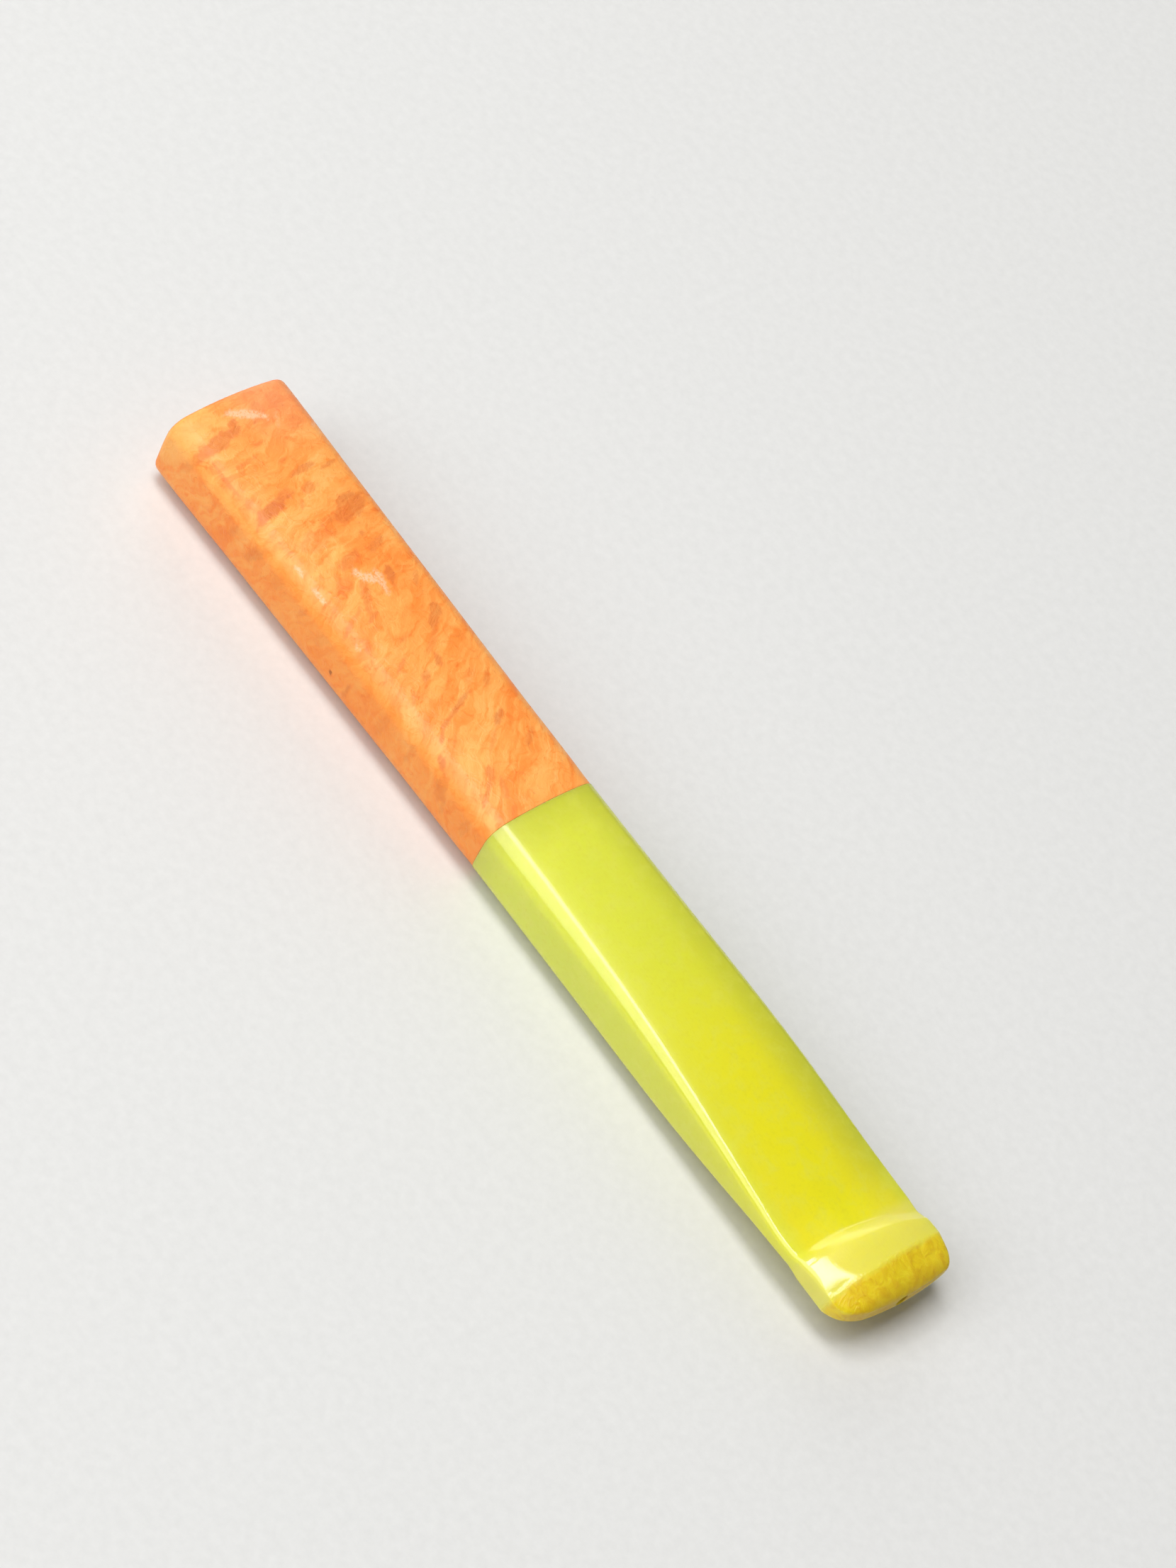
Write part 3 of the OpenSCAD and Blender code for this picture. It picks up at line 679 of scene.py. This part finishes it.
def resin_material():
    t = Tree("translucent_resin")
    mm = t.mapping(t.obj, (1000, 1000, 1000))
    x, y, z = t.xyz(mm)
    xr = t.math("ADD", x, -XB)
    n1, _ = t.noise(mm, 0.12, 4, 0.55, 0.6)
    n2, _ = t.noise(mm, 0.55, 5, 0.6, 0.5)
    n3, _ = t.noise(mm, 2.4, 4, 0.6, 0.2)
    wob = t.math("MULTIPLY_ADD", n1, 14.0, -7.0)
    along = t.math("ADD", xr, wob)
    # green-yellow at the joint to a deep warm yellow at the bite
    s = t.math("DIVIDE", along, 52.0, clamp=True)
    col = t.ramp(s, [
        (0.00, lin(216, 219, 72)),
        (0.10, lin(221, 225, 72)),
        (0.35, lin(219, 222, 64)),
        (0.62, lin(223, 220, 50)),
        (0.82, lin(229, 222, 43)),
        (1.00, lin(233, 223, 44)),
    ])
    # deeper colour down the middle of the thin part, paler and greener towards the sides
    mid = t.math("MULTIPLY", t.maprange(t.math("ABSOLUTE", t.math("ADD", y, 0.5)), 5.8, 1.2), t.maprange(xr, 16.0, 40.0))
    col = t.mixc(t.math("MULTIPLY", mid, 0.70), col, lin(234, 226, 24))
    sides = t.maprange(t.math("ABSOLUTE", y), 5.2, 7.0)
    col = t.mixc(t.math("MULTIPLY", sides, 0.45), col, lin(210, 220, 84))
    # painted shade: the +Y side is darkened, most towards the joint and less towards the bite
    far_side_painted_shade = t.math("MULTIPLY", t.maprange(y, 1.5, 7.2), t.maprange(xr, E - 7.0, E - 16.0, 0.25, 1.0))
    col = t.mixc(t.math("MULTIPLY", far_side_painted_shade, 0.62), col, lin(186, 190, 62))
    # painted shadow: a faint olive darkening where the tube sits just inside, standing in for the tube's shadow seen
    # through the resin
    near = t.maprange(xr, 4.5, 0.0)
    col = t.mixc(t.math("MULTIPLY", near, 0.22), col, lin(182, 186, 58))
    cloud = t.math("MULTIPLY_ADD", n2, 1.0, -0.5)
    col = t.mixc(t.maprange(n2, 0.42, 0.70, 0.0, 0.30), col, lin(226, 226, 96))
    col = t.mixc(t.maprange(n3, 0.48, 0.75, 0.0, 0.22), col, lin(208, 202, 40))
    # the nose: amber, darker towards the tip, chewed dull
    slope = t.math("ADD", xr, t.math("MULTIPLY", t.math("SUBTRACT", n3, 0.5), 0.25))
    slope = t.math("ADD", slope, t.math("MULTIPLY", t.math("SUBTRACT", n2, 0.5), 0.9))
    nose = t.maprange(slope, E - 3.9, E - 2.9)
    nose = t.math("MULTIPLY", nose, t.maprange(slope, E - 3.95, E - 3.45, 0.35, 1.0))
    a1, _ = t.noise(t.mapping(mm, (0.8, 0.9, 0.8)), 1.0, 4, 0.6, 0.8)
    amber = t.ramp(a1, [
        (0.30, lin(246, 224, 36)),
        (0.48, lin(238, 211, 14)),
        (0.62, lin(230, 195, 6)),
        (0.80, lin(212, 168, 4)),
    ])
    tipd = t.maprange(xr, E - 1.9, E - 0.1)
    amber = t.mixc(t.math("MULTIPLY", tipd, 0.6), amber, lin(206, 164, 4))
    col = t.mixc(nose, col, amber)
    # painted sheen: the lip's top, from the step to the nose, is painted a little paler where it catches the light
    lip_painted_sheen = t.math("MULTIPLY", t.maprange(xr, E - 8.6, E - 7.2), t.math("SUBTRACT", 1.0, nose))
    col = t.mixc(t.math("MULTIPLY", lip_painted_sheen, 0.60), col, lin(231, 223, 108))
    # stained airway
    rr = t.math("SQRT", t.math("ADD", t.math("MULTIPLY", y, y), t.math("POWER", t.math("SUBTRACT", z, ZC), 2.0)))
    tip_hole = t.math("MULTIPLY", t.maprange(rr, 0.82, 0.70), t.maprange(xr, E - 8, E - 0.05))
    col = t.mixc(t.math("MULTIPLY", tip_hole, 0.45), col, lin(170, 128, 20))
    t.link(col, t.bsdf.inputs["Base Color"])
    r1, _ = t.noise(mm, 1.2, 4, 0.6)
    rough = t.math("MULTIPLY_ADD", r1, 0.05, 0.24)
    rough = t.math("SUBTRACT", rough, t.math("MULTIPLY", t.maprange(xr, 12.0, E - 10.0), 0.16))
    worn = t.math("MULTIPLY", t.maprange(xr, E - 11.0, E - 9.0), t.maprange(y, -5.2, -3.6))
    worn = t.math("MULTIPLY", worn, t.maprange(xr, E - 5.2, E - 6.6, 0.5, 1.0))
    rough = t.math("MINIMUM", t.math("ADD", rough, t.math("MULTIPLY", worn, 0.16)), 0.268)
    rough = t.math("ADD", rough, t.math("MULTIPLY", nose, 0.32))
    t.link(rough, t.bsdf.inputs["Roughness"])
    t.bsdf.inputs["Subsurface Weight"].default_value = 0.85
    t.bsdf.inputs["Subsurface Radius"].default_value = (1.0, 0.9, 0.16)
    t.bsdf.inputs["Subsurface Scale"].default_value = 0.0022
    t.bsdf.inputs["IOR"].default_value = 1.54
    t.bsdf.inputs["Specular IOR Level"].default_value = 0.6
    # handling scratches along the stem and tiny pits
    sv = t.mapping(mm, (0.35, 3.2, 3.2), (0, 0, math.radians(6)))
    s1, _ = t.noise(sv, 2.2, 3, 0.6, 0.1)
    pits, _ = t.noise(mm, 7.0, 2, 0.5)
    h = t.math("ADD", t.math("MULTIPLY", s1, 0.5), t.math("MULTIPLY", pits, 0.35))
    b1 = t.bump(h, 0.22, 0.00005)
    chew = t.math("MULTIPLY", a1, nose)
    b2 = t.bump(chew, 0.55, 0.00035, b1)
    t.link(b2, t.bsdf.inputs["Normal"])
    return t.mat


def metal_material():
    t = Tree("turned_aluminium")
    mm = t.mapping(t.obj, (1000, 1000, 1000))
    x, y, z = t.xyz(mm)
    turn = t.combine(t.math("MULTIPLY", x, 9.0), t.math("MULTIPLY", y, 0.25), t.math("MULTIPLY", z, 0.25))
    l1, _ = t.noise(turn, 2.0, 4, 0.65)
    n1, _ = t.noise(mm, 0.8, 4, 0.6)
    col = t.ramp(t.math("MULTIPLY_ADD", n1, 0.7, t.math("MULTIPLY", l1, 0.3)), [
        (0.2, lin(170, 172, 176)), (0.55, lin(206, 208, 212)), (0.85, lin(226, 228, 231))])
    tar = t.maprange(t.math("SQRT", t.math("ADD", t.math("MULTIPLY", y, y), t.math("POWER", t.math("SUBTRACT", z, ZC), 2.0))), 1.75, 1.62)
    col = t.mixc(t.math("MULTIPLY", tar, 0.75), col, lin(88, 62, 34))
    t.link(col, t.bsdf.inputs["Base Color"])
    t.bsdf.inputs["Metallic"].default_value = 1.0
    t.link(t.math("MULTIPLY_ADD", l1, 0.25, 0.20), t.bsdf.inputs["Roughness"])
    t.link(t.bump(l1, 0.35, 0.00003), t.bsdf.inputs["Normal"])
    return t.mat


def floor_material():
    t = Tree("pale_floor")
    mm = t.mapping(t.obj, (1000, 1000, 1000))
    n1, _ = t.noise(mm, 0.9, 5, 0.6)
    t.link(t.ramp(n1, [(0.3, (0.70, 0.70, 0.69)), (0.7, (0.74, 0.74, 0.73))]), t.bsdf.inputs["Base Color"])
    t.bsdf.inputs["Roughness"].default_value = 0.9
    t.bsdf.inputs["Specular IOR Level"].default_value = 0.2
    return t.mat


for ob, mat in ((wood, wood_material()), (bit, resin_material()), (tube, metal_material())):
    ob.data.materials.append(mat)

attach(wood, "body")
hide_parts("wooden_body")
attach(bit, "bit")
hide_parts("mouthpiece")
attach(tube, "tenon")
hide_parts("tenon_tube")

# ---------------------------------------------------------------- stage
me = bpy.data.meshes.new("floor")
S = 3.0
me.from_pydata([(-S, -S, 0), (S, -S, 0), (S, S, 0), (-S, S, 0)], [], [(0, 1, 2, 3)])
floor = bpy.data.objects.new("floor", me)
scene.collection.objects.link(floor)
floor.data.materials.append(floor_material())

# ---------------------------------------------------------------- camera
# object's axis seen at 16.1 degrees towards the lens, rolled 35.9 degrees about it
K = 14.4                                   # picture units per mm at the joint
F = 7000.0                                 # focal length in units of a 2212-unit tall picture
TX, WX = -36.9, 98.0                       # picture centre along and across the object
be, ps = math.radians(16.1), math.radians(35.9)
A = Vector((math.cos(be), math.sin(be) * WX / F, math.sin(be))).normalized()
P0 = Vector((-50 - TX, -WX, -F))
yh = Vector((0, 1, 0))
Hr = (yh - A * yh.dot(A)).normalized()
Vr = A.cross(Hr)
H = Hr * math.cos(ps) - Vr * math.sin(ps)
V = Hr * math.sin(ps) + Vr * math.cos(ps)


def to_object(v):
    return Vector((v.dot(A), v.dot(H), v.dot(V)))


cam_mm = to_object(-P0) / K + Vector((762.0 / K + X0, 0, ZC))
right = to_object(Vector((0.61436466, 0.78902222, 0)))
up = to_object(Vector((-0.78902222, 0.61436466, 0)))
back = to_object(Vector((0, 0, 1)))
cam_data = bpy.data.cameras.new("camera")
cam = bpy.data.objects.new("camera", cam_data)
scene.collection.objects.link(cam)
cam.matrix_world = Matrix((
    (right.x, up.x, back.x, cam_mm.x * MM),
    (right.y, up.y, back.y, cam_mm.y * MM),
    (right.z, up.z, back.z, cam_mm.z * MM),
    (0, 0, 0, 1)))
cam_data.sensor_fit = "AUTO"
cam_data.sensor_width = 36.0
cam_data.lens = F / 2212.0 * 36.0
cam_data.clip_start = 0.01
cam_data.clip_end = 20
scene.camera = cam


# ---------------------------------------------------------------- light
def softbox(name, direction, distance, wide, deep, radiance, color=(1, 1, 1)):
    """A rectangular softbox facing the part: wide along the part, deep across it."""
    L = bpy.data.lights.new(name, "AREA")
    L.shape = "RECTANGLE"
    L.size = wide
    L.size_y = deep
    L.energy = radiance * math.pi * wide * deep
    L.color = color
    o = bpy.data.objects.new(name, L)
    scene.collection.objects.link(o)
    zz = Vector(direction).normalized()
    xx = (Vector((1, 0, 0)) - zz * zz.x).normalized()
    yy = zz.cross(xx)
    p = zz * distance + Vector((0, 0, ZC * MM))
    o.matrix_world = Matrix(((xx.x, yy.x, zz.x, p.x), (xx.y, yy.y, zz.y, p.y), (xx.z, yy.z, zz.z, p.z), (0, 0, 0, 1)))
    return o


softbox("softbox_key", (-0.22, -0.07, 0.97), 1.2, 0.72, 0.34, 10.5, (1.0, 0.99, 0.97))
softbox("softbox_fill", (-0.28, -0.76, 0.58), 1.3, 1.0, 0.95, 2.9)
softbox("softbox_bridge", (-0.28, -0.37, 0.89), 1.3, 1.0, 0.48, 2.7)
softbox("softbox_rim", (-0.74, 0.55, 0.42), 1.3, 0.75, 0.70, 1.9, (1.0, 1.0, 0.98))

world = bpy.data.worlds.new("world")
scene.world = world
world.use_nodes = True
bg = world.node_tree.nodes["Background"]
bg.inputs[0].default_value = (0.97, 0.98, 1.0, 1)
bg.inputs[1].default_value = 0.11
scene.view_settings.view_transform = "Standard"
scene.view_settings.look = "None"
